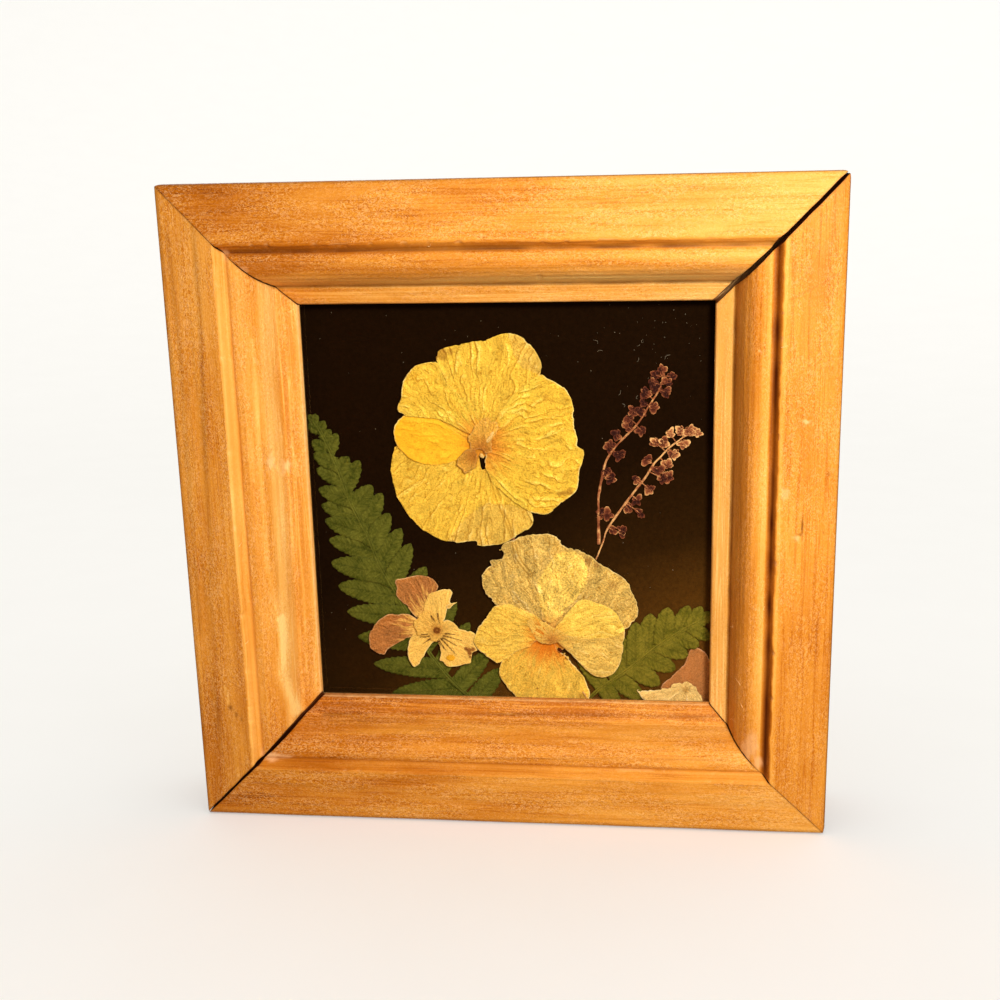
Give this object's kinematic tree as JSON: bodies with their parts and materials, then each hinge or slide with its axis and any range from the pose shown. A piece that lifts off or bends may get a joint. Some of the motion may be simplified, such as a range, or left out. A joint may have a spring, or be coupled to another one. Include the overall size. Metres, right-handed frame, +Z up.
{
  "type": "pressed flower frame",
  "caption": "Small square pine picture frame with pressed pansies, a viola, fern fronds and seed sprigs lying on dark card behind glass.",
  "frame": {"origin": "on the surface that the frame stands on, under the middle of its bottom rail", "axes": "+X to the right seen from the front, +Y from the front of the frame to its back, +Z up"},
  "size_m": [0.127, 0.0214, 0.127],
  "materials": {
    "frame_wood": "bare moulded pine under a worn amber varnish, with fuzzy end fibres",
    "pane": "clear 2 mm picture glass",
    "mount_card": null,
    "backing_board": "brown pressed-fibre board",
    "points": "thin zinc-grey steel, slightly dulled",
    "yellow_petal": null,
    "pale_petal": null,
    "pink_petal": null,
    "frond": null,
    "seed_sprig": null
  },
  "bodies": {
    "root": {"rail_bottom": "frame_wood", "rail_left": "frame_wood", "rail_top": "frame_wood", "rail_right": "frame_wood", "glass_pane": "pane", "mount_card": "mount_card", "backing_board": "backing_board", "glazier_point_1": "points", "glazier_point_2": "points", "glazier_point_3": "points", "glazier_point_4": "points", "glazier_point_5": "points", "glazier_point_6": "points", "glazier_point_7": "points", "glazier_point_8": "points", "large_pansy_petal_upper_right": "yellow_petal", "large_pansy_petal_upper_left": "yellow_petal", "large_pansy_petal_left": "yellow_petal", "large_pansy_petal_right": "yellow_petal", "large_pansy_petal_lower": "yellow_petal", "large_pansy_stem": "pale_petal", "pale_pansy_petal_upper_left": "pale_petal", "pale_pansy_petal_upper_right": "pale_petal", "pale_pansy_petal_right": "pale_petal", "pale_pansy_petal_left": "pale_petal", "pale_pansy_petal_lower": "pale_petal", "viola_petal_upper": "pink_petal", "viola_petal_left": "pink_petal", "viola_petal_upper_right": "yellow_petal", "viola_petal_lower_left": "yellow_petal", "viola_petal_lower_right": "yellow_petal", "corner_flower_petal_back": "pink_petal", "corner_flower_petal_front": "pale_petal", "fern_frond_left": "frond", "fern_frond_right": "frond", "sprig_tall": "seed_sprig", "sprig_leaning": "seed_sprig"}
  },
  "joints": []
}
